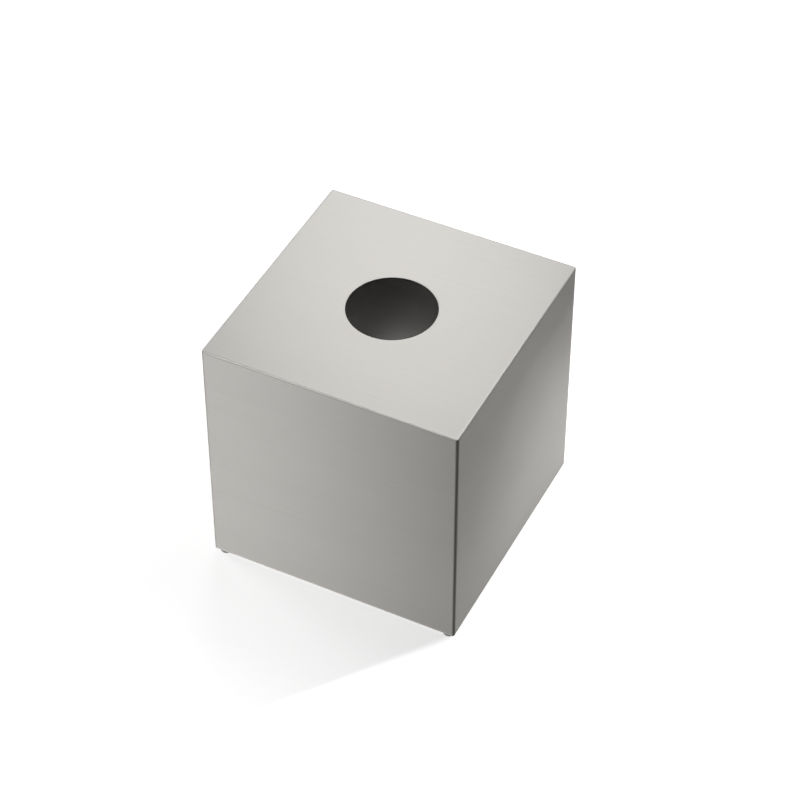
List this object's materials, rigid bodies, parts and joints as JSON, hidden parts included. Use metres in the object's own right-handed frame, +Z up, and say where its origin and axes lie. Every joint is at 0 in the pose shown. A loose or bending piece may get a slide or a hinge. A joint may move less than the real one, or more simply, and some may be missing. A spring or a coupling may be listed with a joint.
{
  "type": "tissue box holder",
  "caption": "Cube cover of brushed stainless sheet that drops over a carton of tissues, with a round dispensing hole in its top, an open underside with a return lip, and bumper feet.",
  "frame": {"origin": "on the surface that the feet stand on, under the middle of the cover", "axes": "+Z up, the front wall faces -Y and the right wall faces +X"},
  "size_m": [0.135, 0.135, 0.1397],
  "materials": {
    "brushed_sheet": "fine satin grain, level on the walls and left to right on the top",
    "foot_rubber": "matt dark grey"
  },
  "bodies": {
    "root": {"shell": "brushed_sheet", "foot_front_left": "foot_rubber", "foot_front_right": "foot_rubber", "foot_back_left": "foot_rubber", "foot_back_right": "foot_rubber"}
  },
  "joints": []
}
